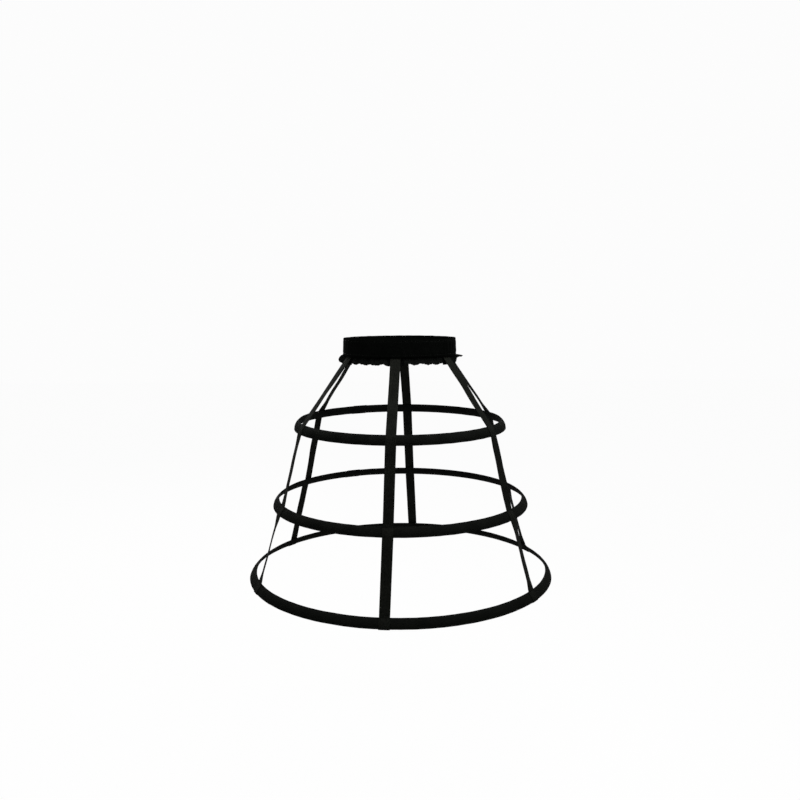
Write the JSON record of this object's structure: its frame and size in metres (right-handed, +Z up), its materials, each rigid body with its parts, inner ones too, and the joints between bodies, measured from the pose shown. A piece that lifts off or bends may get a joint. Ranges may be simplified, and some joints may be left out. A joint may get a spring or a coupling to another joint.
{
  "type": "crinoline cage",
  "caption": "Short black crinoline cage: boned hoops growing towards the hem hang on ribbon straps from a gathered elastic waistband with a frilled lower edge.",
  "frame": {"origin": "middle of the waist opening, at half the waistband's height", "axes": "+Z up along the wearer's body, the front of the cage faces -Y, +X is on the right of someone who looks at the front"},
  "size_m": [0.6568, 0.6578, 0.5162],
  "materials": {
    "waist_elastic": "matt black woven elastic",
    "ruffle_cloth": "matt black thin cloth, gathered",
    "ribbon": "black ribbed ribbon with a soft sheen",
    "casing_tape": "black woven tape with sewn edges",
    "coated_bone": "white nylon coat on spring steel",
    "sleeve_steel": "crimped sheet steel"
  },
  "bodies": {
    "root": {"waistband": "waist_elastic", "ruffle": "ruffle_cloth", "strap_front": "ribbon", "strap_front_right": "ribbon", "strap_back_right": "ribbon", "strap_back": "ribbon", "strap_back_left": "ribbon", "strap_front_left": "ribbon", "hoop_casing_top": "casing_tape", "hoop_casing_middle": "casing_tape", "hoop_casing_bottom": "casing_tape", "hoop_bone_top": "coated_bone", "hoop_bone_middle": "coated_bone", "hoop_bone_bottom": "coated_bone", "bone_sleeve_top": "sleeve_steel", "bone_sleeve_middle": "sleeve_steel", "bone_sleeve_bottom": "sleeve_steel"}
  },
  "joints": []
}
